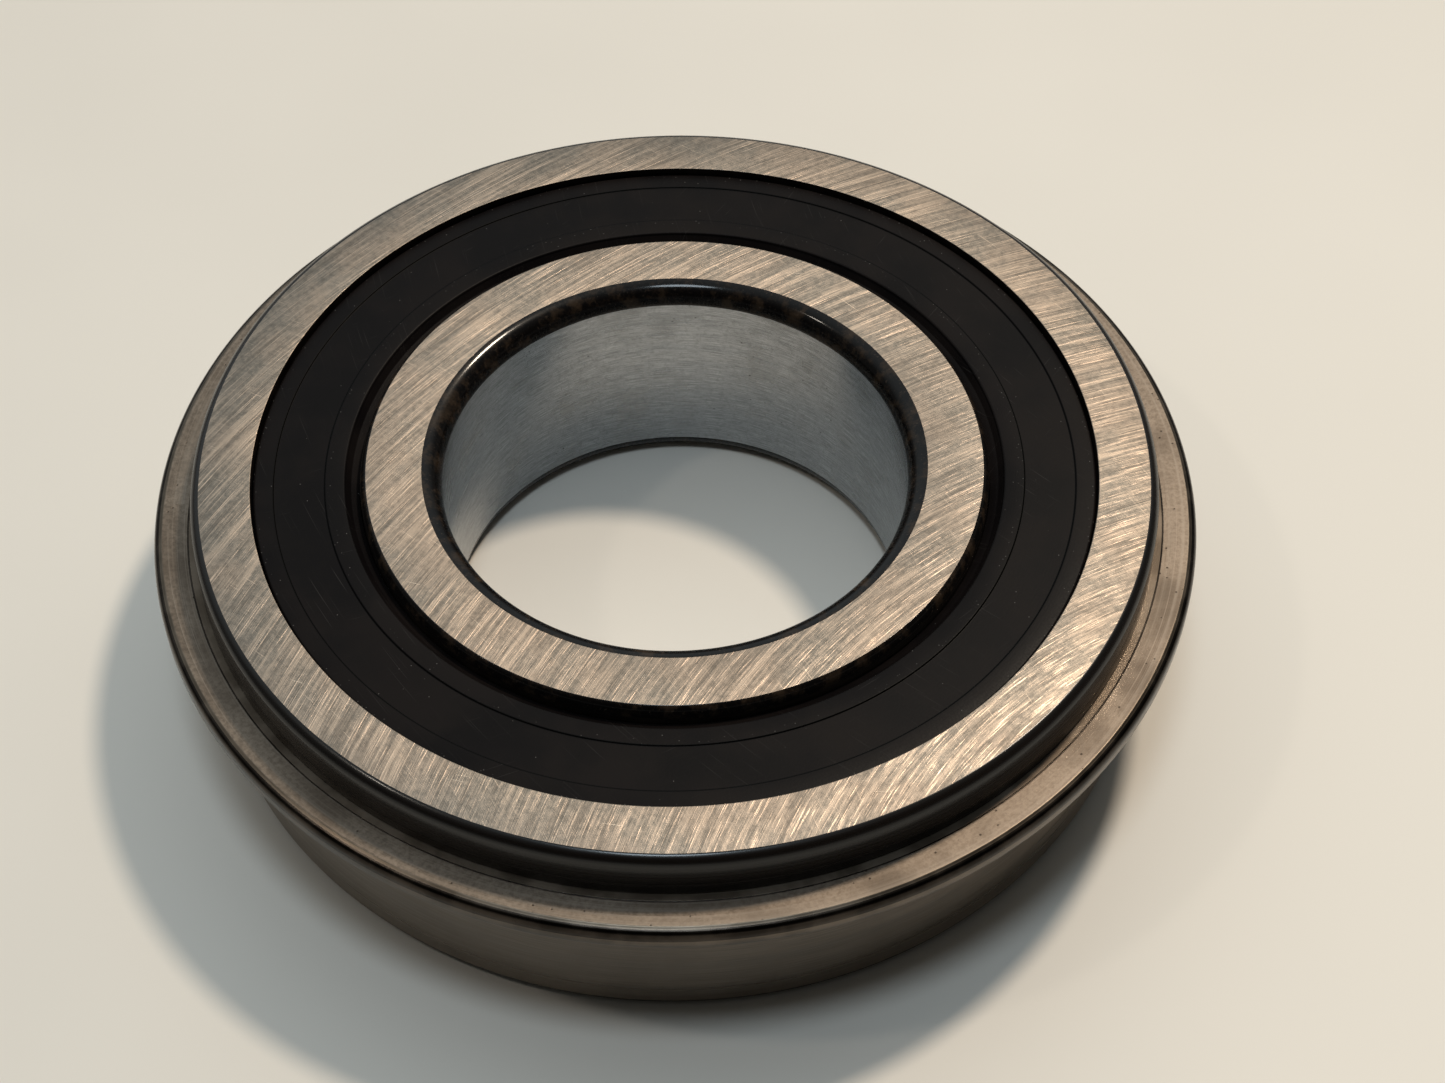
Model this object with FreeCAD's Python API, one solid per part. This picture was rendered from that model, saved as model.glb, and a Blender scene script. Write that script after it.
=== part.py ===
"""Sealed deep groove ball bearing, 30 x 62 x 16 mm, with a snap ring in its outer ring.

Millimetres, +Z up. The origin is on the bore's axis, midway between the side faces,
and the snap ring is on the +Z side. Every turned piece is a closed outline of
(radius, height) points swept once around Z.
"""
import FreeCAD, Part
import math
import os

# Boundary dimensions of the bearing
BORE_R = 15.0
OUTSIDE_R = 31.0
WIDTH = 16.0
HALF = WIDTH / 2

# Balls and their raceways
BALL_COUNT = 9
BALL_R = 9.525 / 2
PITCH_R = (BORE_R + OUTSIDE_R) / 2
RACE_PLAY = 0.02
INNER_GROOVE_R = 4.95
OUTER_GROOVE_R = 5.0
INNER_SHOULDER_R = 20.22
OUTER_SHOULDER_R = 25.8

# Corners: how far each one runs in across the side face and along the axis
BORE_CORNER = (1.23, 1.34)
LAND_CORNER = (0.42, 0.8)
TOP_CORNER = (0.6, 0.6)
BOTTOM_CORNER = (0.8, 0.8)

# Seal seat in the outer ring, as depths below the side face
SEAT_MOUTH_R = 27.12
SEAT_ROOT_R = 27.9
SEAT_NECK_DEPTH = 0.95
SEAT_ROOT_DEPTH = 1.35
SEAT_FLOOR_DEPTH = 2.0

# Seal, as depths below the side face
SEAL_RIM_DEPTH = 0.45
SEAL_BAND_DEPTH = 0.53
SEAL_BAND_R = (22.45, 25.69)
SEAL_STEP = 0.03
SEAL_INNER_R = 21.1
SEAL_OUTER_R = 27.0
SEAL_EDGE = 0.15
SEAL_BEAD_R = SEAT_ROOT_R - 0.02
LIP_TIP_R = INNER_SHOULDER_R + 0.04
LIP_TIP_DEPTH = (1.3, 1.5)
INSERT_R = (21.7, 26.5)
INSERT_DEPTH = 1.05
INSERT_SHEET = 0.5

# Snap ring and its groove
GROOVE_DEPTH_FROM_FACE = 3.28
GROOVE_WIDTH = 1.9
GROOVE_FLOOR_R = 29.8
SNAP_INNER_R = 29.9
SNAP_OUTER_R = 33.75
SNAP_THICKNESS = 1.7
SNAP_TOP_PLAY = 0.05
SNAP_ROUND = 0.4
SNAP_GAP = 3.0

# Two-piece riveted cage of pressed sheet
CAGE_R = (21.3, 24.7)
CAGE_SHEET = 0.8
POCKET_R = BALL_R + 0.09
RIVET_SHANK_R = 0.75
RIVET_HEAD_R = 1.25
RIVET_HEAD_HEIGHT = 0.55

Z_AXIS = FreeCAD.Vector(0, 0, 1)
ORIGIN = FreeCAD.Vector(0, 0, 0)


def point(radius, height):
    """A point of a turned outline, in the XZ half plane."""
    return FreeCAD.Vector(radius, 0, height)


def line(start, end):
    return Part.LineSegment(point(*start), point(*end)).toShape()


def arc(start, middle, end):
    return Part.Arc(point(*start), point(*middle), point(*end)).toShape()


def corner(start, end, centre_side, bulge=0.7):
    """A rounded corner. The arc swells from its chord away from centre_side.

    A bulge of 1 is a full quarter round, and less than 1 meets its faces at an edge.
    """
    middle_r = (start[0] + end[0]) / 2
    middle_z = (start[1] + end[1]) / 2
    swell = 0.414 * bulge
    swollen_r = middle_r + (middle_r - centre_side[0]) * swell
    swollen_z = middle_z + (middle_z - centre_side[1]) * swell
    return arc(start, (swollen_r, swollen_z), end)


def polyline(points):
    return [line(a, b) for a, b in zip(points[:-1], points[1:])]


def turn(edges):
    """Sweep a closed outline once around Z into a solid."""
    wire = Part.Wire(edges)
    return Part.Face(wire).revolve(ORIGIN, Z_AXIS, 360)


def raceway(shoulder_r, groove_r, bottom_r, centre_r, downwards):
    """The ball groove's arc between the two shoulders of a ring."""
    half_width = math.sqrt(groove_r ** 2 - (centre_r - shoulder_r) ** 2)
    sign = 1 if downwards else -1
    start = (shoulder_r, sign * half_width)
    end = (shoulder_r, -sign * half_width)
    return start, arc(start, (bottom_r, 0), end), end


def inner_ring():
    """Bore, two ground side faces, rounded corners and the inner raceway."""
    bore_corner_r = BORE_R + BORE_CORNER[0]
    bore_corner_z = HALF - BORE_CORNER[1]
    land_corner_r = INNER_SHOULDER_R - LAND_CORNER[0]
    land_corner_z = HALF - LAND_CORNER[1]
    bottom_r = PITCH_R - BALL_R - RACE_PLAY
    start, race, end = raceway(INNER_SHOULDER_R, INNER_GROOVE_R, bottom_r, bottom_r + INNER_GROOVE_R, True)
    edges = [
        line((bore_corner_r, HALF), (land_corner_r, HALF)),
        corner((land_corner_r, HALF), (INNER_SHOULDER_R, land_corner_z), (land_corner_r, land_corner_z)),
        line((INNER_SHOULDER_R, land_corner_z), start),
        race,
        line(end, (INNER_SHOULDER_R, -land_corner_z)),
        corner((INNER_SHOULDER_R, -land_corner_z), (land_corner_r, -HALF), (land_corner_r, -land_corner_z)),
        line((land_corner_r, -HALF), (bore_corner_r, -HALF)),
        corner((bore_corner_r, -HALF), (BORE_R, -bore_corner_z), (bore_corner_r, -bore_corner_z)),
        line((BORE_R, -bore_corner_z), (BORE_R, bore_corner_z)),
        corner((BORE_R, bore_corner_z), (bore_corner_r, HALF), (bore_corner_r, bore_corner_z)),
    ]
    return turn(edges)


def seal_seat(side):
    """Points of the seal seat, from the side face to the shoulder. side is +1 or -1."""
    depths = [
        (SEAT_MOUTH_R, 0),
        (SEAT_MOUTH_R, SEAT_NECK_DEPTH),
        (SEAT_ROOT_R, SEAT_ROOT_DEPTH),
        (SEAT_ROOT_R, SEAT_FLOOR_DEPTH),
        (OUTER_SHOULDER_R, SEAT_FLOOR_DEPTH),
    ]
    return [(radius, side * (HALF - depth)) for radius, depth in depths]


def outer_ring():
    """Outside surface with the snap ring groove, two seal seats and the outer raceway."""
    groove_top = HALF - GROOVE_DEPTH_FROM_FACE
    groove_bottom = groove_top - GROOVE_WIDTH
    top_r = OUTSIDE_R - TOP_CORNER[0]
    top_z = HALF - TOP_CORNER[1]
    bottom_r = OUTSIDE_R - BOTTOM_CORNER[0]
    bottom_z = BOTTOM_CORNER[1] - HALF
    race_bottom_r = PITCH_R + BALL_R + RACE_PLAY
    race_centre_r = race_bottom_r - OUTER_GROOVE_R
    start, race, end = raceway(OUTER_SHOULDER_R, OUTER_GROOVE_R, race_bottom_r, race_centre_r, False)
    outside = [
        (OUTSIDE_R, top_z),
        (OUTSIDE_R, groove_top),
        (GROOVE_FLOOR_R, groove_top),
        (GROOVE_FLOOR_R, groove_bottom),
        (OUTSIDE_R, groove_bottom),
        (OUTSIDE_R, bottom_z),
    ]
    upper_seat = seal_seat(1)
    lower_seat = seal_seat(-1)
    edges = [line(upper_seat[0], (top_r, HALF))]
    edges.append(corner((top_r, HALF), (OUTSIDE_R, top_z), (top_r, top_z)))
    edges += polyline(outside)
    edges.append(corner((OUTSIDE_R, bottom_z), (bottom_r, -HALF), (bottom_r, bottom_z)))
    edges += polyline([(bottom_r, -HALF)] + lower_seat + [start])
    edges.append(race)
    edges += polyline([end] + upper_seat[::-1])
    return turn(edges)


def seal_rubber(side):
    """Moulded rubber: an outer bead, a sunk middle band and a lip that reaches the inner ring."""
    band_inner, band_outer = SEAL_BAND_R
    insert_inner, insert_outer = INSERT_R
    lip_top, lip_bottom = LIP_TIP_DEPTH
    insert_back = INSERT_DEPTH + INSERT_SHEET
    rim_edge_r = SEAL_OUTER_R - SEAL_EDGE
    rim_edge_depth = SEAL_RIM_DEPTH + SEAL_EDGE
    lip_edge_r = SEAL_INNER_R + SEAL_EDGE

    def place(radius, depth):
        return (radius, side * (HALF - depth))

    back = [
        place(SEAL_OUTER_R, rim_edge_depth),
        place(SEAL_OUTER_R, SEAT_NECK_DEPTH + 0.05),
        place(SEAL_BEAD_R, SEAT_ROOT_DEPTH + 0.03),
        place(SEAL_BEAD_R, SEAT_FLOOR_DEPTH),
        place(insert_outer, SEAT_FLOOR_DEPTH),
        place(insert_outer, INSERT_DEPTH),
        place(insert_inner, INSERT_DEPTH),
        place(insert_inner, insert_back),
        place(SEAL_INNER_R, insert_back + 0.25),
        place(LIP_TIP_R + 0.4, insert_back + 0.15),
        place(LIP_TIP_R, lip_bottom),
        place(LIP_TIP_R, lip_top),
        place(SEAL_INNER_R - 0.3, 1.0),
        place(SEAL_INNER_R, rim_edge_depth),
    ]
    front = [
        place(lip_edge_r, SEAL_RIM_DEPTH),
        place(band_inner - SEAL_STEP, SEAL_RIM_DEPTH),
        place(band_inner + SEAL_STEP, SEAL_BAND_DEPTH),
        place(band_outer - SEAL_STEP, SEAL_BAND_DEPTH),
        place(band_outer + SEAL_STEP, SEAL_RIM_DEPTH),
        place(rim_edge_r, SEAL_RIM_DEPTH),
    ]
    edges = polyline(back)
    edges.append(corner(back[-1], front[0], place(lip_edge_r, rim_edge_depth), 1.0))
    edges += polyline(front)
    edges.append(corner(front[-1], back[0], place(rim_edge_r, rim_edge_depth), 1.0))
    return turn(edges)


def seal_insert(side):
    """Pressed steel stiffener behind the rubber, with its outer edge turned inwards."""
    inner, outer = INSERT_R
    web_back = INSERT_DEPTH + INSERT_SHEET
    depths = [
        (inner, INSERT_DEPTH),
        (outer, INSERT_DEPTH),
        (outer, SEAT_FLOOR_DEPTH - 0.1),
        (outer - INSERT_SHEET, SEAT_FLOOR_DEPTH - 0.1),
        (outer - INSERT_SHEET, web_back),
        (inner, web_back),
        (inner, INSERT_DEPTH),
    ]
    return turn(polyline([(radius, side * (HALF - depth)) for radius, depth in depths]))


def snap_ring():
    """Flat stamped ring with rounded outer edges and a gap on the +Y side."""
    top = HALF - GROOVE_DEPTH_FROM_FACE - SNAP_TOP_PLAY
    bottom = top - SNAP_THICKNESS
    flat_r = SNAP_OUTER_R - SNAP_ROUND
    round_top = top - SNAP_ROUND
    round_bottom = bottom + SNAP_ROUND
    edges = [
        line((SNAP_INNER_R, bottom), (SNAP_INNER_R, top)),
        line((SNAP_INNER_R, top), (flat_r, top)),
        corner((flat_r, top), (SNAP_OUTER_R, round_top), (flat_r, round_top), 1.0),
        line((SNAP_OUTER_R, round_top), (SNAP_OUTER_R, round_bottom)),
        corner((SNAP_OUTER_R, round_bottom), (flat_r, bottom), (flat_r, round_bottom), 1.0),
        line((flat_r, bottom), (SNAP_INNER_R, bottom)),
    ]
    gap_corner = FreeCAD.Vector(-SNAP_GAP / 2, 0, bottom - 1)
    gap = Part.makeBox(SNAP_GAP, SNAP_OUTER_R + 1, SNAP_THICKNESS + 2, gap_corner)
    return turn(edges).cut(gap)


def around_pitch_circle(step, shape_at_x_axis):
    """Copies of a shape around the pitch circle, each turned by step positions."""
    copies = []
    for index in range(BALL_COUNT):
        copy = shape_at_x_axis.copy()
        copy.rotate(ORIGIN, Z_AXIS, 360 / BALL_COUNT * (index + step))
        copies.append(copy)
    return copies


def annulus(inner_r, outer_r, bottom, height):
    base = FreeCAD.Vector(0, 0, bottom)
    return Part.makeCylinder(outer_r, height, base).cut(Part.makeCylinder(inner_r, height, base))


def cage_half(side):
    """One pressed half of the cage: flat lands joined by a domed pocket over each ball."""
    dome_r = POCKET_R + CAGE_SHEET
    ball_place = FreeCAD.Vector(PITCH_R, 0, 0)
    sheet = annulus(CAGE_R[0], CAGE_R[1], 0, CAGE_SHEET)
    band = annulus(CAGE_R[0], CAGE_R[1], 0, dome_r + 1)
    domes = [dome.common(band) for dome in around_pitch_circle(0, Part.makeSphere(dome_r, ball_place))]
    pockets = around_pitch_circle(0, Part.makeSphere(POCKET_R, ball_place))
    hole = Part.makeCylinder(RIVET_SHANK_R, CAGE_SHEET, ball_place)
    half = sheet.multiFuse(domes).cut(Part.makeCompound(pockets))
    half = half.cut(Part.makeCompound(around_pitch_circle(0.5, hole))).removeSplitter()
    if side < 0:
        half.rotate(ORIGIN, FreeCAD.Vector(1, 0, 0), 180)
    return half.Solids[0]


def rivet():
    """A rivet with a round head at each end, standing on the +X axis of the pitch circle."""
    head_top = CAGE_SHEET + RIVET_HEAD_HEIGHT
    head_sphere_r = (RIVET_HEAD_R ** 2 + RIVET_HEAD_HEIGHT ** 2) / (2 * RIVET_HEAD_HEIGHT)
    half_angle = math.asin(RIVET_HEAD_R / head_sphere_r) / 2
    head_middle_z = head_top - head_sphere_r * (1 - math.cos(half_angle))
    head_middle = (head_sphere_r * math.sin(half_angle), head_middle_z)
    edges = [
        line((0, -head_top), (0, head_top)),
        arc((0, head_top), head_middle, (RIVET_HEAD_R, CAGE_SHEET)),
        line((RIVET_HEAD_R, CAGE_SHEET), (RIVET_SHANK_R, CAGE_SHEET)),
        line((RIVET_SHANK_R, CAGE_SHEET), (RIVET_SHANK_R, -CAGE_SHEET)),
        line((RIVET_SHANK_R, -CAGE_SHEET), (RIVET_HEAD_R, -CAGE_SHEET)),
        arc((RIVET_HEAD_R, -CAGE_SHEET), (head_middle[0], -head_middle[1]), (0, -head_top)),
    ]
    solid = turn(edges)
    solid.translate(FreeCAD.Vector(PITCH_R, 0, 0))
    return solid


def balls():
    ball = Part.makeSphere(BALL_R)
    ball.translate(FreeCAD.Vector(PITCH_R, 0, 0))
    return around_pitch_circle(0, ball)


def main():
    nodes = {
        "outer_ring": outer_ring(),
        "inner_ring": inner_ring(),
        "snap_ring": snap_ring(),
        "upper_seal_rubber": seal_rubber(1),
        "upper_seal_insert": seal_insert(1),
        "lower_seal_rubber": seal_rubber(-1),
        "lower_seal_insert": seal_insert(-1),
        "upper_cage_half": cage_half(1),
        "lower_cage_half": cage_half(-1),
        "cage_rivets": Part.makeCompound(around_pitch_circle(0.5, rivet())),
    }
    for number, ball in enumerate(balls(), start=1):
        nodes[f"ball_{number}"] = ball

    os.makedirs("parts", exist_ok=True)
    for name, shape in nodes.items():
        if not shape.isValid():
            raise ValueError(f"{name} is not a valid shape")
        shape.exportStep(f"parts/{name}.step")
        print(f"{name}: {len(shape.Solids)} solid(s), {shape.Volume:.1f} mm3")


main()
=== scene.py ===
"""Looks for the sealed ball bearing: turned pieces, procedural materials, light, floor and camera.

Outlines are in millimetres, as (radius, height) from the bearing's centre, and meshes are in
metres. Every turned piece is one closed outline swept around Z. Each stretch of the outline
has its own surface, so ground, turned, hardened and rubber surfaces meet at real edges.
"""

import bpy
import math
from mathutils import Matrix, Vector


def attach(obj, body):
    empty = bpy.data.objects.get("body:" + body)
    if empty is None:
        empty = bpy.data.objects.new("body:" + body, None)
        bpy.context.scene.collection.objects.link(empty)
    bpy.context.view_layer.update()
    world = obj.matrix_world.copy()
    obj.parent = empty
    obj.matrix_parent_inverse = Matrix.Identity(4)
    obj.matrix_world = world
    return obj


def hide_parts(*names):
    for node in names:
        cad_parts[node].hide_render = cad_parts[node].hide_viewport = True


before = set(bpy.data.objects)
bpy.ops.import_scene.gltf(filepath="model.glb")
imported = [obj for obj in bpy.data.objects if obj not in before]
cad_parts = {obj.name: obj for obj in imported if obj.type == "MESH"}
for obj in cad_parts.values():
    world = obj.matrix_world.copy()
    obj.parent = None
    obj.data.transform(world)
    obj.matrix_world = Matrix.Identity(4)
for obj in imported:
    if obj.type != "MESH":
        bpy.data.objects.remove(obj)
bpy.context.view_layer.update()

MM = 0.001
SEGMENTS = 288
CRISP_DEGREES = 20
SHARP_SHADING_DEGREES = 50
ARC_BULGE = 0.828
STEEL_EDGE_ROUND = 0.05
RUBBER_EDGE_ROUND = 0.03
GRAIN_R = 25.0

# Bearing dimensions
BORE_R = 15.0
OUTSIDE_R = 31.0
HALF = 8.0
BALL_R = 9.525 / 2
BALL_CLEARANCE = 0.02
PITCH_R = 23.0
OUTER_RACE_R = 5.0
INNER_RACE_R = 4.95
INNER_SHOULDER_R = 20.22
OUTER_SHOULDER_R = 25.8
UPPER_FACE_R = 30.4
LOWER_FACE_R = 30.2
UPPER_CORNER = 0.6
LOWER_CORNER = 0.8
SNAP_GROOVE_R = 29.8
SNAP_GROOVE_DEPTH = 3.28
SNAP_GROOVE_WIDTH = 1.9
SNAP_TOP = 4.67
SNAP_BOTTOM = 2.97
SNAP_INNER_R = 29.9
SNAP_OUTER_R = 33.74
SNAP_GAP = 3.0
SEAL_GRIT_RADII = (26.85, 22.2)
SEAL_STEP_RADII = (25.70, 22.43)


# ---------------------------------------------------------------- materials

class Surface:
    """One node material, built around a Principled shader."""

    def __init__(self, name, **values):
        self.material = bpy.data.materials.new(name)
        self.material.use_nodes = True
        self.tree = self.material.node_tree
        self.shader = self.tree.nodes["Principled BSDF"]
        for socket, value in values.items():
            self.shader.inputs[socket.replace("_", " ")].default_value = value
        self.bumps = []

    def node(self, kind, **settings):
        node = self.tree.nodes.new(kind)
        for key, value in settings.items():
            setattr(node, key, value)
        return node

    def feed(self, source, socket):
        """Link a socket, or set a plain number or vector."""
        if isinstance(source, bpy.types.NodeSocket):
            self.tree.links.new(source, socket)
        else:
            socket.default_value = source

    def math(self, operation, a, b=0.0):
        node = self.node("ShaderNodeMath", operation=operation)
        for value, socket in zip((a, b), node.inputs):
            self.feed(value, socket)
        return node.outputs[0]

    def place(self):
        """Position in the piece, in millimetres."""
        scale = self.node("ShaderNodeVectorMath", operation="SCALE")
        self.feed(self.node("ShaderNodeTexCoord").outputs["Object"], scale.inputs[0])
        scale.inputs["Scale"].default_value = 1 / MM
        return scale.outputs[0]

    def combine(self, x, y, z):
        node = self.node("ShaderNodeCombineXYZ")
        for value, socket in zip((x, y, z), node.inputs):
            self.feed(value, socket)
        return node.outputs[0]

    def around(self, centre=(0.0, 0.0)):
        """Radius, angle in radians and height about an upright line through centre, in millimetres."""
        split = self.node("ShaderNodeSeparateXYZ")
        self.feed(self.place(), split.inputs[0])
        x = self.math("SUBTRACT", split.outputs[0], centre[0])
        y = self.math("SUBTRACT", split.outputs[1], centre[1])
        squares = self.math("ADD", self.math("MULTIPLY", x, x), self.math("MULTIPLY", y, y))
        return self.math("SQRT", squares), self.math("ARCTAN2", y, x), split.outputs[2]

    def away_from(self, radii):
        """Distance in millimetres, measured outwards or inwards, from the nearer of two radii."""
        radius, _, _ = self.around()
        gaps = [self.math("ABSOLUTE", self.math("SUBTRACT", radius, mark)) for mark in radii]
        return self.math("MINIMUM", *gaps)

    def noise(self, vector, scale=1.0, detail=2.0, roughness=0.5, distortion=0.0):
        node = self.node("ShaderNodeTexNoise")
        self.feed(vector, node.inputs["Vector"])
        node.inputs["Scale"].default_value = scale
        node.inputs["Detail"].default_value = detail
        node.inputs["Roughness"].default_value = roughness
        node.inputs["Distortion"].default_value = distortion
        return node.outputs["Fac"]

    def spots(self, vector, scale, size):
        """1 at scattered small spots, 0 elsewhere. size is a spot's radius, in cells."""
        node = self.node("ShaderNodeTexVoronoi")
        self.feed(vector, node.inputs["Vector"])
        node.inputs["Scale"].default_value = scale
        return self.ramp(node.outputs["Distance"], size, size * 0.4)

    def ramp(self, value, low, high, out_low=0.0, out_high=1.0):
        """Map low..high to out_low..out_high smoothly, held at the ends. low may be over high."""
        node = self.node("ShaderNodeMapRange", interpolation_type="SMOOTHSTEP")
        if low > high:
            low, high, out_low, out_high = high, low, out_high, out_low
        self.feed(value, node.inputs["Value"])
        limits = {"From Min": low, "From Max": high, "To Min": out_low, "To Max": out_high}
        for socket, number in limits.items():
            node.inputs[socket].default_value = number
        return node.outputs["Result"]

    def mix(self, share, a, b):
        """Colour a where share is 0, and b where it is 1."""
        node = self.node("ShaderNodeMix", data_type="RGBA")
        self.feed(share, node.inputs[0])
        for colour, socket in ((a, node.inputs[6]), (b, node.inputs[7])):
            if not isinstance(colour, bpy.types.NodeSocket):
                colour = (*colour, 1.0)
            self.feed(colour, socket)
        return node.outputs[2]

    def streaks(self, centre, length, width, seed, detail=3.0, roughness=0.6):
        """Noise drawn out along circles about a far centre, in millimetres."""
        radius, angle, _ = self.around(centre)
        along = self.math("MULTIPLY", angle, math.hypot(*centre) / length)
        across = self.math("DIVIDE", radius, width)
        return self.noise(self.combine(across, along, seed), 1.0, detail, roughness)

    def lines_around(self, width, seed, length=40.0, detail=3.0):
        """Noise drawn out around the axis, on faces and upright walls alike. length is that at GRAIN_R."""
        radius, angle, height = self.around()
        along = self.math("MULTIPLY", angle, GRAIN_R / length)
        across = self.math("DIVIDE", self.math("ADD", radius, height), width)
        return self.noise(self.combine(across, along, seed), 1.0, detail, 0.65)

    def bump(self, height, depth):
        """Add relief. depth is in millimetres for height 0 to 1."""
        self.bumps.append((height, depth))

    def finish(self, colour, roughness):
        """Wire up the colour, roughness and relief, and return the material."""
        self.feed(colour, self.shader.inputs["Base Color"])
        self.feed(roughness, self.shader.inputs["Roughness"])
        normal = None
        for height, depth in self.bumps:
            node = self.node("ShaderNodeBump")
            node.inputs["Strength"].default_value = 1.0
            node.inputs["Distance"].default_value = depth * MM
            self.feed(height, node.inputs["Height"])
            if normal:
                self.feed(normal, node.inputs["Normal"])
            normal = node.outputs[0]
        if normal:
            self.feed(normal, self.shader.inputs["Normal"])
        return self.material

    def grain_around(self, amount):
        """Stretch highlights across a grain that runs around the axis."""
        tangent = self.node("ShaderNodeTangent", direction_type="RADIAL", axis="Z")
        self.feed(tangent.outputs[0], self.shader.inputs["Tangent"])
        self.shader.inputs["Anisotropic"].default_value = amount
        self.shader.inputs["Anisotropic Rotation"].default_value = 0.25


def ground_face():
    """Side faces ground across: curved scratches of two directions over mottled steel, with warm painted
    glints on many scratches where the lamps would catch them.
    """
    s = Surface("ground_face", Metallic=1.0)
    wheel = (43.0, -46.0)
    fine = s.streaks(wheel, 5.2, 0.09, 1.0, 4.0, 0.66)
    coarse = s.streaks(wheel, 9.0, 0.42, 7.0, 5.0, 0.64)
    crossing = s.streaks((-58.0, -52.0), 3.6, 0.09, 13.0, 4.0, 0.7)
    stray = s.streaks((15.0, 80.0), 3.0, 0.08, 53.0, 1.0)
    patches = s.noise(s.place(), 0.14, 4.0, 0.6)
    painted_glint_patches = s.noise(s.place(), 0.075, 3.0, 0.5)
    speckle = s.noise(s.place(), 2.4, 4.0, 0.72)
    # Painted glints: bright warm colour on the scratches stands in for lamp highlights, sparser in some
    # patches.
    painted_glint_share = s.ramp(painted_glint_patches, 0.40, 0.56, 0.45, 1.0)
    colour = s.mix(s.ramp(patches, 0.40, 0.62), (0.208, 0.188, 0.162), (0.285, 0.236, 0.192))
    colour = s.mix(s.ramp(speckle, 0.42, 0.64, 0.0, 0.50), colour, (0.355, 0.296, 0.243))
    colour = s.mix(s.ramp(speckle, 0.50, 0.34, 0.0, 0.45), colour, (0.145, 0.127, 0.108))
    painted_wide_glint = s.math("MULTIPLY", painted_glint_share, s.ramp(coarse, 0.49, 0.64, 0.0, 0.85))
    colour = s.mix(painted_wide_glint, colour, (0.450, 0.366, 0.292))
    colour = s.mix(s.ramp(coarse, 0.49, 0.36, 0.0, 0.55), colour, (0.145, 0.127, 0.108))
    painted_fine_glint = s.math("MULTIPLY", painted_glint_share, s.ramp(fine, 0.55, 0.69, 0.0, 0.9))
    colour = s.mix(painted_fine_glint, colour, (0.780, 0.590, 0.448))
    colour = s.mix(s.ramp(fine, 0.42, 0.30, 0.0, 0.6), colour, (0.120, 0.103, 0.087))
    # More painted glints, on the crossing and stray scratches.
    colour = s.mix(s.ramp(crossing, 0.60, 0.72, 0.0, 0.75), colour, (0.640, 0.520, 0.415))
    colour = s.mix(s.ramp(crossing, 0.38, 0.28, 0.0, 0.5), colour, (0.120, 0.103, 0.087))
    colour = s.mix(s.ramp(stray, 0.74, 0.82, 0.0, 0.8), colour, (0.700, 0.600, 0.500))
    rough = s.math("ADD", s.ramp(patches, 0.3, 0.7, 0.50, 0.56), s.ramp(fine, 0.45, 0.7, 0.0, -0.14))
    s.bump(fine, 0.016)
    s.bump(coarse, 0.034)
    s.bump(crossing, 0.012)
    return s.finish(colour, rough)


def hardened_corner():
    """Corners left dark from hardening: glossy black scale with brown mottling."""
    s = Surface("hardened_corner", Specular_IOR_Level=0.04, Coat_Weight=0.4, Coat_Roughness=0.10)
    blotch = s.noise(s.place(), 0.8, 4.0, 0.65)
    fine = s.noise(s.place(), 5.0, 3.0, 0.6)
    colour = s.mix(s.ramp(blotch, 0.46, 0.68), (0.004, 0.0035, 0.0035), (0.030, 0.020, 0.013))
    colour = s.mix(s.ramp(fine, 0.60, 0.75, 0.0, 0.5), colour, (0.075, 0.056, 0.042))
    rough = s.ramp(fine, 0.3, 0.7, 0.20, 0.34)
    s.bump(s.lines_around(0.12, 3.0), 0.002)
    s.bump(blotch, 0.008)
    return s.finish(colour, rough)


def bore_wall():
    """Finely ground bore: grain around the axis, faint stains and a few dark pits. The cool blue tint of its
    colours is a painted reflection of the cool-lit floor seen through the bore.
    """
    s = Surface("bore_wall", Metallic=1.0)
    s.grain_around(0.95)
    fine = s.lines_around(0.06, 5.0, 3.0, 4.0)
    wide = s.lines_around(0.5, 9.0, 60.0, 2.0)
    stain = s.noise(s.place(), 0.25, 3.0, 0.6)
    speckle = s.noise(s.place(), 3.4, 4.0, 0.75)
    pits = s.spots(s.place(), 1.5, 0.13)
    pitted_area = s.ramp(s.noise(s.place(), 0.30, 2.0), 0.50, 0.62)
    # Blue-grey colours: the blue tint is a painted reflection of the floor inside the bore.
    colour = s.mix(s.ramp(fine, 0.36, 0.64), (0.295, 0.308, 0.322), (0.500, 0.518, 0.536))
    colour = s.mix(s.ramp(speckle, 0.52, 0.36, 0.0, 0.45), colour, (0.240, 0.248, 0.255))
    colour = s.mix(s.ramp(stain, 0.5, 0.72, 0.0, 0.4), colour, (0.310, 0.310, 0.305))
    pit_share = s.math("MULTIPLY", pits, s.math("MULTIPLY", pitted_area, 0.85))
    colour = s.mix(pit_share, colour, (0.045, 0.040, 0.036))
    rough = s.math("ADD", s.ramp(wide, 0.3, 0.7, 0.22, 0.27), s.ramp(stain, 0.5, 0.7, 0.0, 0.04))
    s.bump(fine, 0.0020)
    return s.finish(colour, rough)


def outside_wall():
    """Ground outside surface: grain around the axis, a little duller than the bore. Its darker, browner
    colour is a painted reflection of the warm, shaded floor in front.
    """
    s = Surface("outside_wall", Metallic=1.0)
    s.grain_around(0.7)
    fine = s.lines_around(0.05, 15.0, 5.0)
    wide = s.lines_around(0.6, 19.0, 60.0, 2.0)
    stain = s.noise(s.place(), 0.22, 4.0, 0.6)
    # Dark brown colours: painted reflection of the shaded floor in front.
    colour = s.mix(s.ramp(fine, 0.3, 0.7), (0.200, 0.166, 0.134), (0.300, 0.252, 0.206))
    colour = s.mix(s.ramp(stain, 0.48, 0.72, 0.0, 0.25), colour, (0.150, 0.122, 0.098))
    rough = s.ramp(wide, 0.3, 0.7, 0.27, 0.36)
    s.bump(fine, 0.0016)
    return s.finish(colour, rough)


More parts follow.
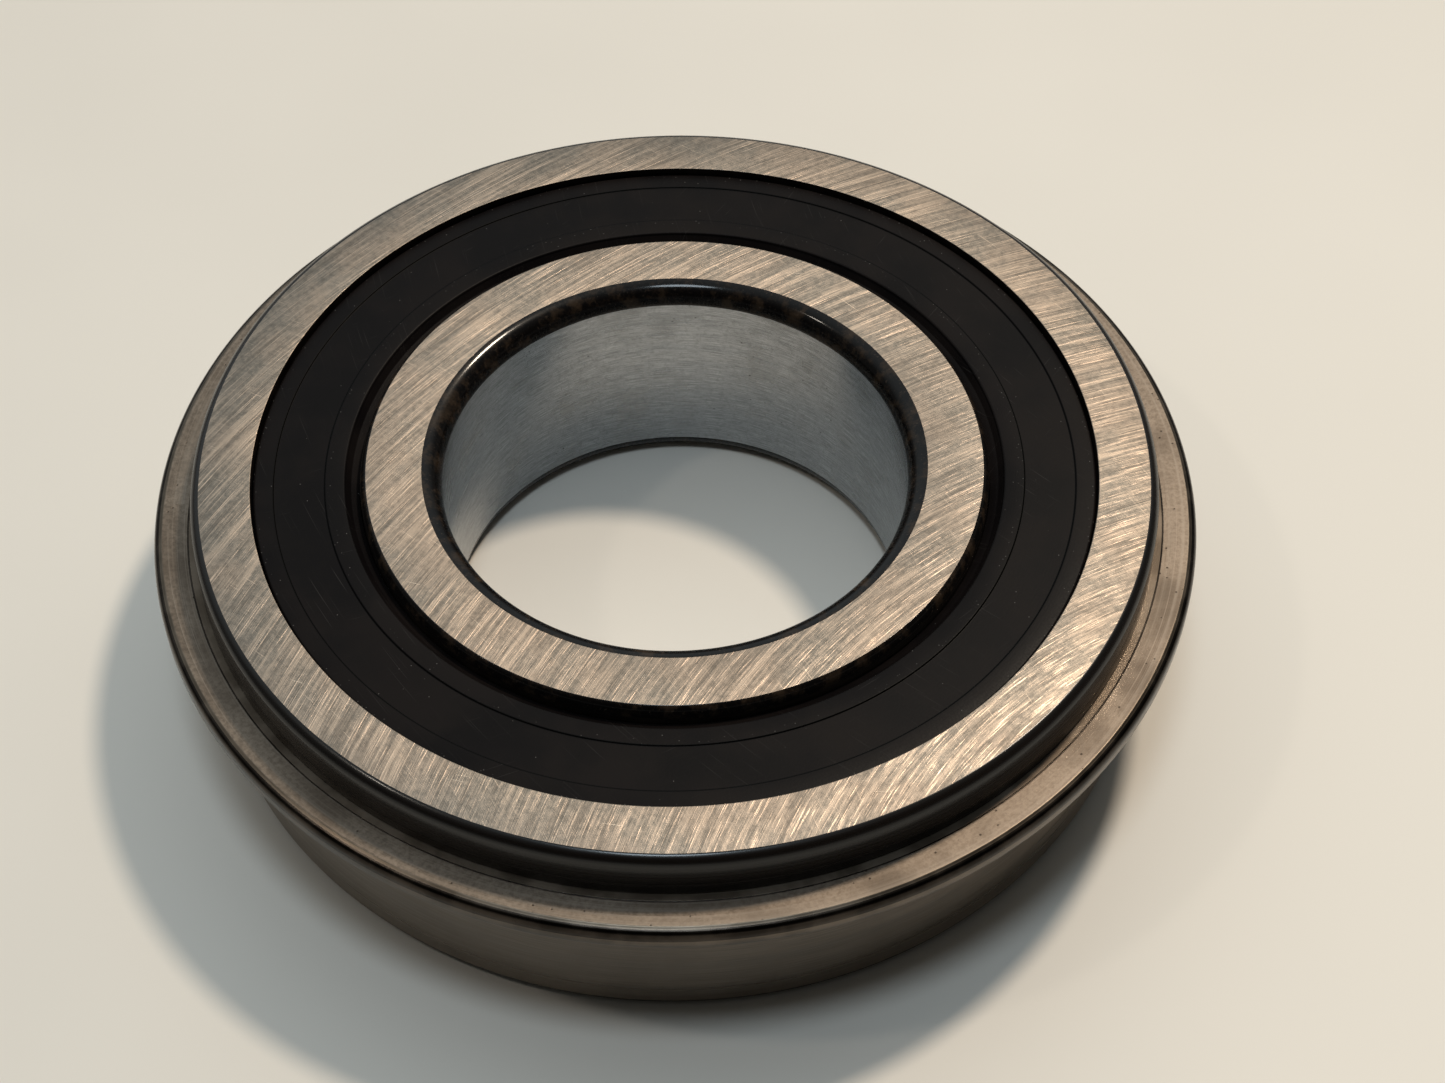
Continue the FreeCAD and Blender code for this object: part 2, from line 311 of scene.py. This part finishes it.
def turned_wall():
    """Grooves, lands and seal seats: turned, hardened dark and a little oily."""
    s = Surface("turned_wall", Metallic=0.8, Coat_Weight=0.15, Coat_Roughness=0.2)
    s.grain_around(0.5)
    fine = s.lines_around(0.09, 23.0, 12.0)
    blotch = s.noise(s.place(), 0.5, 4.0, 0.6)
    colour = s.mix(s.ramp(fine, 0.3, 0.7), (0.012, 0.009, 0.008), (0.040, 0.032, 0.027))
    colour = s.mix(s.ramp(blotch, 0.45, 0.7, 0.0, 0.6), colour, (0.050, 0.036, 0.027))
    rough = s.ramp(blotch, 0.3, 0.7, 0.25, 0.4)
    s.bump(fine, 0.004)
    return s.finish(colour, rough)


def land():
    """The narrow land above the snap ring, and its upper corner: smooth, glossy and almost black. The
    corner's black is hardening scale; the land's is painted shade, in place of its shadow and dark
    reflections.
    """
    s = Surface("land", Specular_IOR_Level=0.3, Coat_Weight=0.15, Coat_Roughness=0.10)
    around = s.lines_around(0.25, 61.0, 80.0, 2.0)
    # Near-black colour: painted shade on the land, real dark scale on its corner.
    colour = s.mix(s.ramp(around, 0.35, 0.65), (0.0035, 0.0028, 0.0026), (0.0090, 0.0068, 0.0056))
    rough = s.ramp(around, 0.3, 0.7, 0.22, 0.30)
    s.bump(around, 0.0015)
    return s.finish(colour, rough)


def raceway():
    """Honed ball groove with a polished running track."""
    s = Surface("raceway", Metallic=1.0)
    s.grain_around(0.4)
    fine = s.lines_around(0.04, 29.0, 8.0)
    _, _, height = s.around()
    track = s.ramp(s.math("ABSOLUTE", height), 0.9, 1.5)
    colour = s.mix(track, (0.74, 0.73, 0.71), (0.60, 0.585, 0.56))
    colour = s.mix(s.ramp(fine, 0.35, 0.7, 0.0, 0.3), colour, (0.42, 0.41, 0.40))
    rough = s.math("ADD", s.ramp(track, 0.0, 1.0, 0.08, 0.18), s.ramp(fine, 0.4, 0.7, 0.0, 0.05))
    s.bump(fine, 0.0008)
    return s.finish(colour, rough)


def snap_ring_steel():
    """Stamped and tumbled spring steel: tan-brown, pitted, with drawn lines around it."""
    s = Surface("snap_ring_steel", Metallic=1.0)
    around = s.lines_around(0.10, 31.0, 30.0)
    wide = s.lines_around(0.45, 33.0, 60.0, 2.0)
    grain = s.noise(s.place(), 3.2, 4.0, 0.7)
    patches = s.noise(s.place(), 0.16, 3.0, 0.55)
    pits = s.spots(s.place(), 1.1, 0.10)
    colour = s.mix(s.ramp(grain, 0.35, 0.65), (0.138, 0.111, 0.088), (0.215, 0.176, 0.141))
    colour = s.mix(s.ramp(patches, 0.42, 0.66, 0.0, 0.6), colour, (0.085, 0.066, 0.051))
    colour = s.mix(s.ramp(wide, 0.50, 0.66, 0.0, 0.4), colour, (0.250, 0.215, 0.180))
    colour = s.mix(s.ramp(around, 0.56, 0.72, 0.0, 0.45), colour, (0.310, 0.262, 0.218))
    colour = s.mix(s.math("MULTIPLY", pits, 0.8), colour, (0.035, 0.025, 0.018))
    rough = s.math("ADD", s.ramp(grain, 0.3, 0.7, 0.44, 0.52), s.ramp(patches, 0.4, 0.7, 0.0, 0.06))
    s.bump(grain, 0.006)
    s.bump(around, 0.004)
    s.bump(s.math("SUBTRACT", 1.0, pits), 0.012)
    return s.finish(colour, rough)


def snap_ring_edge(name, light, dark, roughness):
    """The ring's rim, edge or inner border, worn smooth, with a few brighter streaks. The edge and inner
    border copies are coloured dark as painted shade.
    """
    s = Surface(name, Metallic=1.0)
    around = s.lines_around(0.12, 37.0, 18.0)
    patches = s.noise(s.place(), 0.35, 3.0, 0.6)
    colour = s.mix(s.ramp(patches, 0.38, 0.66), dark, light)
    colour = s.mix(s.ramp(around, 0.58, 0.74, 0.0, 0.35), colour, tuple(1.8 * part for part in light))
    rough = s.ramp(patches, 0.3, 0.7, roughness, roughness + 0.08)
    s.bump(around, 0.003)
    return s.finish(colour, rough)


def rubber():
    """Moulded nitrile rubber: satin black, with faint mould lines, hair scratches and edge dust, and painted
    shade along the two steps of the sunk band.
    """
    s = Surface("seal_rubber", Specular_IOR_Level=0.07)
    skin = s.noise(s.place(), 7.0, 3.0, 0.6)
    bloom = s.noise(s.place(), 0.18, 3.0, 0.55)
    mould = s.lines_around(0.10, 41.0, 50.0)
    dust = s.spots(s.place(), 1.1, 0.05)
    grit = s.spots(s.place(), 3.1, 0.16)
    hairs = s.streaks((60.0, 35.0), 5.0, 0.07, 47.0, 1.0)
    scuffs = s.streaks((-40.0, 55.0), 4.0, 0.06, 59.0, 1.0)
    edge_grit = s.math("MULTIPLY", grit, s.ramp(s.away_from(SEAL_GRIT_RADII), 0.30, 0.08))
    # Painted shade: a darker line of colour along each step.
    painted_step_shade = s.ramp(s.away_from(SEAL_STEP_RADII), 0.10, 0.04)
    colour = s.mix(s.ramp(bloom, 0.35, 0.65), (0.0042, 0.0034, 0.0036), (0.0074, 0.0056, 0.0053))
    colour = s.mix(s.ramp(hairs, 0.68, 0.80, 0.0, 0.45), colour, (0.05, 0.047, 0.045))
    colour = s.mix(s.ramp(scuffs, 0.72, 0.82, 0.0, 0.45), colour, (0.06, 0.057, 0.055))
    colour = s.mix(s.math("MULTIPLY", dust, 0.5), colour, (0.22, 0.21, 0.20))
    colour = s.mix(s.math("MULTIPLY", edge_grit, 0.6), colour, (0.12, 0.115, 0.11))
    colour = s.mix(painted_step_shade, colour, (0.0012, 0.0010, 0.0010))
    rough = s.math("ADD", s.ramp(bloom, 0.3, 0.7, 0.36, 0.44), s.ramp(skin, 0.35, 0.7, 0.0, 0.06))
    s.bump(skin, 0.004)
    s.bump(mould, 0.003)
    return s.finish(colour, rough)


def pressed_sheet(name, light, dark):
    """Cold-rolled sheet after pressing: fine rolling grain, soft blotches and small dents."""
    s = Surface(name, Metallic=1.0)
    grain = s.node("ShaderNodeMapping")
    grain.inputs["Scale"].default_value = (0.8, 9.0, 9.0)
    s.feed(s.place(), grain.inputs["Vector"])
    rolled = s.noise(grain.outputs[0], 1.0, 3.0, 0.6)
    blotch = s.noise(s.place(), 0.5, 3.0, 0.6)
    dents = s.spots(s.place(), 1.0, 0.09)
    colour = s.mix(s.ramp(rolled, 0.3, 0.7), dark, light)
    colour = s.mix(s.ramp(blotch, 0.48, 0.7, 0.0, 0.5), colour, dark)
    rough = s.math("ADD", s.ramp(blotch, 0.3, 0.7, 0.24, 0.36), s.math("MULTIPLY", dents, 0.1))
    s.bump(rolled, 0.003)
    s.bump(s.math("SUBTRACT", 1.0, dents), 0.01)
    return s.finish(colour, rough)


def ball_polish():
    """Lapped ball: almost a mirror, with a faint haze of fine marks."""
    s = Surface("ball_polish", Metallic=1.0)
    haze = s.noise(s.place(), 0.8, 4.0, 0.6)
    marks = s.noise(s.place(), 9.0, 3.0, 0.7, 1.5)
    colour = s.mix(s.ramp(haze, 0.35, 0.65), (0.70, 0.70, 0.71), (0.80, 0.80, 0.80))
    rough = s.math("ADD", s.ramp(haze, 0.3, 0.7, 0.04, 0.08), s.ramp(marks, 0.62, 0.75, 0.0, 0.08))
    s.bump(marks, 0.0006)
    return s.finish(colour, rough)


def floor_paint():
    """Plain pale floor with a barely visible unevenness."""
    s = Surface("floor_paint", Metallic=0.05, Specular_IOR_Level=0.2)
    tone = s.noise(s.place(), 0.02, 3.0, 0.5)
    colour = s.mix(s.ramp(tone, 0.3, 0.7), (0.765, 0.735, 0.680), (0.795, 0.765, 0.710))
    return s.finish(colour, s.ramp(tone, 0.3, 0.7, 0.50, 0.56))


# ---------------------------------------------------------------- turned meshes

def bend(start, end, centre_side, bulge=0.7, steps=8):
    """Points from start up to, not including, end, along a curve that swells away from centre_side.

    A bulge of 1 is close to a quarter circle, and 0 is a straight line.
    """
    middle = (Vector(start) + Vector(end)) / 2
    control = middle + (middle - Vector(centre_side)) * ARC_BULGE * bulge
    points = []
    for step in range(steps):
        t = step / steps
        point = (1 - t) ** 2 * Vector(start) + 2 * t * (1 - t) * control + t ** 2 * Vector(end)
        points.append(tuple(point))
    return points


def groove_arc(centre, radius, start, end, steps=28):
    """Points of the ball groove's circle, from start up to, not including, end."""
    first = math.atan2(start[1] - centre[1], start[0] - centre[0])
    last = math.atan2(end[1] - centre[1], end[0] - centre[0])
    sweep = (last - first + math.pi) % (2 * math.pi) - math.pi
    points = []
    for step in range(steps):
        angle = first + sweep * step / steps
        points.append((centre[0] + radius * math.cos(angle), centre[1] + radius * math.sin(angle)))
    return points


def soften(outline, width):
    """Round every crisp corner of a closed outline of (surface, point) pairs.

    Each corner gets four points of a small round and one holding point each side of it, which
    keeps the shading of the long faces flat.
    """
    softened = []
    count = len(outline)
    for index, (surface, point) in enumerate(outline):
        before_surface, before = outline[index - 1]
        after = Vector(outline[(index + 1) % count][1])
        here = Vector(point)
        back = Vector(before) - here
        ahead = after - here
        turn = math.pi - back.angle(ahead)
        room = min(back.length, ahead.length)
        if math.degrees(turn) < CRISP_DEGREES:
            softened.append((surface, here))
            continue
        reach = min(width, room * 0.3)
        back.normalize()
        ahead.normalize()
        softened.append((before_surface, here + back * reach * 1.5))
        for t in (0.0, 0.33, 0.67, 1.0):
            blended = here + back * reach * (1 - t) ** 2 + ahead * reach * t ** 2
            softened.append((before_surface if t < 0.5 else surface, blended))
        softened.append((surface, here + ahead * reach * 1.5))
    return softened


def stretch(surface, points):
    """A part of an outline, with one surface."""
    return [(surface, point) for point in points]


def around_z(radius, angle, height):
    """A mesh point in metres, from a radius and height in millimetres."""
    return radius * MM * math.cos(angle), radius * MM * math.sin(angle), height * MM


def mesh_object(name, vertices, faces, face_surfaces):
    """A smooth-shaded object, with each face's material taken from surfaces by name."""
    mesh = bpy.data.meshes.new(name)
    mesh.from_pydata(vertices, [], faces)
    used = sorted(set(face_surfaces))
    for surface in used:
        mesh.materials.append(surfaces[surface])
    mesh.polygons.foreach_set("material_index", [used.index(surface) for surface in face_surfaces])
    mesh.polygons.foreach_set("use_smooth", [True] * len(faces))
    mesh.set_sharp_from_angle(angle=math.radians(SHARP_SHADING_DEGREES))
    mesh.validate()
    thing = bpy.data.objects.new(name, mesh)
    bpy.context.scene.collection.objects.link(thing)
    return thing


def turned(name, outline, edge_round=STEEL_EDGE_ROUND):
    """Sweep a closed outline, listed anticlockwise in (radius, height), once around Z."""
    outline = soften(outline, edge_round)
    count = len(outline)
    vertices = []
    faces = []
    face_surfaces = []
    for segment in range(SEGMENTS):
        angle = 2 * math.pi * segment / SEGMENTS
        for _, (radius, height) in outline:
            vertices.append(around_z(radius, angle, height))
    for segment in range(SEGMENTS):
        this = segment * count
        following = (segment + 1) % SEGMENTS * count
        for index, (surface, _) in enumerate(outline):
            after = (index + 1) % count
            faces.append((this + index, following + index, following + after, this + after))
            face_surfaces.append(surface)
    return mesh_object(name, vertices, faces, face_surfaces)


def split_ring(name, outline):
    """Sweep an outline around Z, leaving a parallel gap at +Y, and close both ends."""
    outline = soften(outline, STEEL_EDGE_ROUND)
    count = len(outline)
    middle = sum((Vector(point) for _, point in outline), Vector((0.0, 0.0))) / count
    half_gap = SNAP_GAP / 2
    end_round = 0.12
    vertices = []
    for segment in range(SEGMENTS + 1):
        at_end = segment in (0, SEGMENTS)
        near_end = segment in (1, SEGMENTS - 1)
        for _, point in outline:
            place = Vector(point)
            if at_end:
                place += (middle - place).normalized() * end_round
            radius, height = place
            gap = half_gap + (end_round if near_end else 0.0)
            skip = math.asin(gap / radius)
            share = min(max((segment - 1) / (SEGMENTS - 2), 0.0), 1.0)
            angle = math.pi / 2 + skip + share * (2 * math.pi - 2 * skip)
            vertices.append(around_z(radius, angle, height))
    faces = []
    face_surfaces = []
    for segment in range(SEGMENTS):
        this = segment * count
        following = this + count
        for index, (surface, _) in enumerate(outline):
            after = (index + 1) % count
            faces.append((this + index, following + index, following + after, this + after))
            face_surfaces.append(surface)
    faces.append(tuple(range(count)))
    faces.append(tuple(range(SEGMENTS * count + count - 1, SEGMENTS * count - 1, -1)))
    face_surfaces += ["snap_ring_edge", "snap_ring_edge"]
    return mesh_object(name, vertices, faces, face_surfaces)


def seal_seat(side):
    """The seat's points from the side face to the shoulder, on the upper (1) or lower (-1) side."""
    depths = [(27.12, 0.0), (27.12, 0.95), (27.9, 1.35), (27.9, 2.0), (OUTER_SHOULDER_R, 2.0)]
    return [(radius, side * (HALF - depth)) for radius, depth in depths]


def outer_ring():
    """The outer ring, anticlockwise from the lower side face."""
    groove_top = HALF - SNAP_GROOVE_DEPTH
    groove_bottom = groove_top - SNAP_GROOVE_WIDTH
    lower_wall_z = LOWER_CORNER - HALF
    upper_wall_z = HALF - UPPER_CORNER
    race_centre = (PITCH_R + BALL_R + BALL_CLEARANCE - OUTER_RACE_R, 0.0)
    half_width = math.sqrt(OUTER_RACE_R ** 2 - (OUTER_SHOULDER_R - race_centre[0]) ** 2)
    race_top = (OUTER_SHOULDER_R, half_width)
    race_bottom = (OUTER_SHOULDER_R, -half_width)
    lower_seat = seal_seat(-1)
    upper_seat = seal_seat(1)
    outline = stretch("ground_face", lower_seat[:1])
    outline += stretch("hardened_corner", bend(
        (LOWER_FACE_R, -HALF), (OUTSIDE_R, lower_wall_z), (LOWER_FACE_R, lower_wall_z)))
    outline += stretch("outside_wall", [(OUTSIDE_R, lower_wall_z)])
    outline += stretch("turned_wall", [
        (OUTSIDE_R, groove_bottom), (SNAP_GROOVE_R, groove_bottom), (SNAP_GROOVE_R, groove_top)])
    # The land and its corner take the almost black land colour, which is painted shade on the land.
    outline += stretch("land", [(OUTSIDE_R, groove_top)])
    outline += stretch("land", bend(
        (OUTSIDE_R, upper_wall_z), (UPPER_FACE_R, HALF), (UPPER_FACE_R, upper_wall_z)))
    outline += stretch("ground_face", [(UPPER_FACE_R, HALF)])
    outline += stretch("turned_wall", upper_seat)
    outline += stretch("raceway", groove_arc(race_centre, OUTER_RACE_R, race_top, race_bottom))
    outline += stretch("turned_wall", [race_bottom] + lower_seat[:0:-1])
    return turned("outer_ring_turned", outline)


def inner_ring():
    """The inner ring, anticlockwise from the lower bore corner."""
    race_centre = (PITCH_R - BALL_R - BALL_CLEARANCE + INNER_RACE_R, 0.0)
    half_width = math.sqrt(INNER_RACE_R ** 2 - (race_centre[0] - INNER_SHOULDER_R) ** 2)
    race_top = (INNER_SHOULDER_R, half_width)
    race_bottom = (INNER_SHOULDER_R, -half_width)
    bore_corner_r = BORE_R + 1.23
    bore_corner_z = HALF - 1.34
    land_corner_r = INNER_SHOULDER_R - 0.42
    land_corner_z = HALF - 0.8
    outline = stretch("hardened_corner", bend(
        (BORE_R, -bore_corner_z), (bore_corner_r, -HALF), (bore_corner_r, -bore_corner_z), 0.95, 12))
    outline += stretch("ground_face", [(bore_corner_r, -HALF)])
    outline += stretch("hardened_corner", bend(
        (land_corner_r, -HALF), (INNER_SHOULDER_R, -land_corner_z), (land_corner_r, -land_corner_z)))
    outline += stretch("turned_wall", [(INNER_SHOULDER_R, -land_corner_z)])
    outline += stretch("raceway", groove_arc(race_centre, INNER_RACE_R, race_bottom, race_top))
    outline += stretch("turned_wall", [race_top])
    outline += stretch("hardened_corner", bend(
        (INNER_SHOULDER_R, land_corner_z), (land_corner_r, HALF), (land_corner_r, land_corner_z)))
    outline += stretch("ground_face", [(land_corner_r, HALF)])
    outline += stretch("hardened_corner", bend(
        (bore_corner_r, HALF), (BORE_R, bore_corner_z), (bore_corner_r, bore_corner_z), 0.95, 12))
    outline += stretch("bore_wall", [(BORE_R, bore_corner_z)])
    return turned("inner_ring_turned", outline)


def seal(side, name):
    """A moulded seal: rim, sunk band, lip and the bead that snaps into the outer ring.

    The points hold depths below the side face, which become heights at the end.
    """
    bead = [(27.0, 1.0), (27.88, 1.38), (27.88, 2.0), (26.5, 2.0)]
    insert_pocket = [(26.5, 1.05), (21.7, 1.05), (21.7, 1.55)]
    lip = [(21.1, 1.8), (20.66, 1.7), (20.26, 1.5), (20.26, 1.3), (20.8, 1.0), (21.1, 0.62)]
    points = bead + insert_pocket + lip
    points += bend((21.1, 0.62), (21.27, 0.45), (21.27, 0.62), 1.0, 5)[1:]
    points += [(21.27, 0.45), (22.40, 0.45), (22.47, 0.53), (25.66, 0.53), (25.73, 0.45), (26.83, 0.45)]
    points += bend((26.83, 0.45), (27.0, 0.62), (26.83, 0.62), 1.0, 5)[1:]
    points += [(27.0, 0.62)]
    points = [(radius, side * (HALF - depth)) for radius, depth in points]
    if side > 0:
        points.reverse()  # both seals' outlines run anticlockwise
    return turned(name, stretch("seal_rubber", points), RUBBER_EDGE_ROUND)


def snap_ring():
    """The snap ring, anticlockwise from its lower inner corner, with a fine line around its top."""
    lower_r = SNAP_OUTER_R - 0.4
    edge_r = SNAP_OUTER_R - 0.36
    flat_r = SNAP_OUTER_R - 0.54
    shoulder = SNAP_TOP - 0.62
    edge = SNAP_TOP - 0.09
    lower_rim_z = SNAP_BOTTOM + 0.4
    lower_round = bend((lower_r, SNAP_BOTTOM), (SNAP_OUTER_R, lower_rim_z), (lower_r, lower_rim_z), 1.0)
    upper_round = bend((SNAP_OUTER_R, shoulder), (edge_r, edge), (edge_r, shoulder), 0.9)
    outline = stretch("snap_ring_steel", [(SNAP_INNER_R, SNAP_BOTTOM)])
    outline += stretch("snap_ring_rim", lower_round)
    # The ring's outer side and upper round are near-black: painted shade and dark reflection.
    outline += stretch("snap_ring_edge", [(SNAP_OUTER_R, SNAP_BOTTOM + 0.85)] + upper_round)
    outline += stretch("snap_ring_rim", [(edge_r, edge)])
    outline += stretch("snap_ring_steel", [(flat_r, SNAP_TOP), (31.56, SNAP_TOP)])
    line_z = SNAP_TOP - 0.03
    outline += stretch("snap_ring_edge", [(31.53, line_z), (31.49, line_z)])
    # Inside the fine line the top is darkened as painted shade next to the land.
    outline += stretch("snap_ring_inner", [(31.46, SNAP_TOP), (SNAP_INNER_R, SNAP_TOP)])
    return split_ring("snap_ring_stamped", outline)


# ---------------------------------------------------------------- light, floor, camera

def area_light(name, towards, distance, size, power, colour):
    """A round lamp aimed at the bearing's centre, and placed from it in the direction towards.

    Its distance and size are in metres, and its power in watts.
    """
    lamp = bpy.data.lights.new(name, "AREA")
    lamp.shape = "DISK"
    lamp.size = size
    lamp.energy = power
    lamp.color = colour
    thing = bpy.data.objects.new(name, lamp)
    direction = Vector(towards).normalized()
    thing.location = direction * distance
    thing.rotation_euler = direction.to_track_quat("Z", "Y").to_euler()
    bpy.context.scene.collection.objects.link(thing)


def surroundings():
    """A soft room: cool and bright behind, dark in front, dim at the horizon.

    The camera itself sees a plain pale backdrop instead.
    """
    world = bpy.data.worlds.new("room")
    bpy.context.scene.world = world
    world.use_nodes = True
    tree = world.node_tree

    def add(kind, inputs, **settings):
        node = tree.nodes.new(kind)
        for key, value in settings.items():
            setattr(node, key, value)
        for socket, value in inputs.items():
            if isinstance(value, bpy.types.NodeSocket):
                tree.links.new(value, node.inputs[socket])
            else:
                node.inputs[socket].default_value = value
        return node

    direction = add("ShaderNodeTexCoord", {}).outputs["Generated"]
    window = Vector((-0.18, 0.70, 0.69)).normalized()
    towards = add("ShaderNodeVectorMath", {0: direction, 1: window}, operation="DOT_PRODUCT")
    halved = add("ShaderNodeMath", {0: towards.outputs["Value"], 1: 0.5, 2: 0.5}, operation="MULTIPLY_ADD")
    sky = add("ShaderNodeValToRGB", {"Fac": halved.outputs[0]})
    ramp = sky.color_ramp
    ramp.elements[0].position = 0.50
    ramp.elements[0].color = (0.012, 0.010, 0.008, 1)
    ramp.elements[1].position = 0.97
    ramp.elements[1].color = (0.66, 0.73, 0.75, 1)
    ramp.elements.new(0.78).color = (0.13, 0.135, 0.13, 1)
    ramp.elements.new(0.90).color = (0.46, 0.51, 0.52, 1)
    height = add("ShaderNodeSeparateXYZ", {0: direction}).outputs[2]
    band = add("ShaderNodeMapRange", {
        "Value": add("ShaderNodeMath", {0: height}, operation="ABSOLUTE").outputs[0],
        "From Min": 0.10, "From Max": 0.26, "To Min": 1.0, "To Max": 0.0}, interpolation_type="SMOOTHSTEP")
    horizon = (0.13, 0.126, 0.118, 1)
    glow = add("ShaderNodeMix", {0: band.outputs[0], 6: sky.outputs[0], 7: horizon}, data_type="RGBA")
    seen = add("ShaderNodeLightPath", {}).outputs["Is Camera Ray"]
    pale = (0.68, 0.67, 0.63, 1)
    backdrop = add("ShaderNodeMix", {0: seen, 6: glow.outputs[2], 7: pale}, data_type="RGBA")
    background = tree.nodes["Background"]
    tree.links.new(backdrop.outputs[2], background.inputs["Color"])
    background.inputs["Strength"].default_value = 1.0


def pale_floor():
    """A large slab with a bevelled edge, whose top is the plane that the bearing lies on."""
    half = 1.5
    edge = 0.02
    thickness = 0.1
    loops = [(half - edge, 0.0), (half, -edge), (half, -thickness)]
    vertices = []
    for reach, height in loops:
        for x, y in ((-1, -1), (1, -1), (1, 1), (-1, 1)):
            vertices.append((x * reach, y * reach, height - HALF * MM))
    faces = [(0, 1, 2, 3)]
    for loop in range(len(loops) - 1):
        for side in range(4):
            after = (side + 1) % 4
            start = loop * 4
            faces.append((start + side, start + 4 + side, start + 4 + after, start + after))
    lowest = 4 * (len(loops) - 1)
    faces.append((lowest + 3, lowest + 2, lowest + 1, lowest))
    mesh = bpy.data.meshes.new("floor")
    mesh.from_pydata(vertices, [], faces)
    mesh.materials.append(floor_paint())
    floor = bpy.data.objects.new("floor", mesh)
    bpy.context.scene.collection.objects.link(floor)


def camera():
    """About 48 degrees above the floor, held nearly level, aimed close to the upper face."""
    elevation = math.radians(48.35)
    distance_mm = 185.17
    forward = Vector((0, math.cos(elevation), -math.sin(elevation)))
    right = Vector((1, 0, 0))
    down = forward.cross(right)
    axes = Matrix((right, down, forward))
    pan, tilt, roll = -0.907, 1.6925, -1.442
    for angle, axis in ((pan, "Y"), (tilt, "X"), (roll, "Z")):
        axes = Matrix.Rotation(math.radians(angle), 3, axis) @ axes
    facing = Matrix((axes[0], -axes[1], -axes[2])).transposed()
    lens = bpy.data.cameras.new("camera")
    lens.sensor_width = 36.0
    lens.lens = 71.886
    lens.clip_start = 0.01
    view = bpy.data.objects.new("camera", lens)
    place = (Vector((0, 0, HALF)) - forward * distance_mm) * MM
    view.matrix_world = Matrix.Translation(place) @ facing.to_4x4()
    bpy.context.scene.collection.objects.link(view)
    bpy.context.scene.camera = view


# ---------------------------------------------------------------- scene

surfaces = {
    "ground_face": ground_face(),
    "hardened_corner": hardened_corner(),
    "bore_wall": bore_wall(),
    "outside_wall": outside_wall(),
    "turned_wall": turned_wall(),
    "land": land(),
    "raceway": raceway(),
    "snap_ring_steel": snap_ring_steel(),
    # Edge copy: near-black as painted shade and dark reflection, on the ring's side, ends and fine line.
    "snap_ring_edge": snap_ring_edge("snap_ring_edge", (0.050, 0.041, 0.034), (0.022, 0.018, 0.015), 0.22),
    # Inner border copy: darker steel as painted shade cast by the outer ring's land.
    "snap_ring_inner": snap_ring_edge("snap_ring_inner", (0.150, 0.122, 0.096), (0.080, 0.063, 0.048), 0.44),
    "snap_ring_rim": snap_ring_edge("snap_ring_rim", (0.160, 0.130, 0.102), (0.105, 0.084, 0.064), 0.28),
    "seal_rubber": rubber(),
}
insert_sheet = pressed_sheet("insert_sheet", (0.50, 0.50, 0.49), (0.34, 0.33, 0.32))
cage_sheet = pressed_sheet("cage_sheet", (0.60, 0.57, 0.53), (0.42, 0.39, 0.35))
polish = ball_polish()

pieces = [
    (outer_ring(), "outer", "outer_ring", "ring_steel"),
    (inner_ring(), "inner", "inner_ring", "ring_steel"),
    (seal(1, "upper_seal_moulded"), "outer", "upper_seal_rubber", "seal_rubber"),
    (seal(-1, "lower_seal_moulded"), "outer", "lower_seal_rubber", "seal_rubber"),
    (snap_ring(), "snap_ring", "snap_ring", "snap_ring_steel"),
]
for piece, body, node, slot in pieces:
    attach(piece, body)
    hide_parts(node)

cad_materials = {"ball": polish, "insert": insert_sheet, "cage": cage_sheet}
for name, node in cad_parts.items():
    for word, material in cad_materials.items():
        if word in name:
            node.data.materials.clear()
            node.data.materials.append(material)

area_light("key", towards=(0.32, 0.37, 0.87), distance=0.6, size=0.07, power=1.95,
           colour=(1.0, 0.85, 0.68))
area_light("overhead", towards=(-0.04, -0.16, 0.98), distance=0.7, size=0.15, power=1.0,
           colour=(0.78, 0.91, 1.0))
area_light("left", towards=(-0.55, -0.06, 0.83), distance=0.7, size=0.05, power=0.26,
           colour=(1.0, 0.90, 0.78))
surroundings()
pale_floor()
camera()
bpy.context.scene.view_settings.view_transform = "Standard"
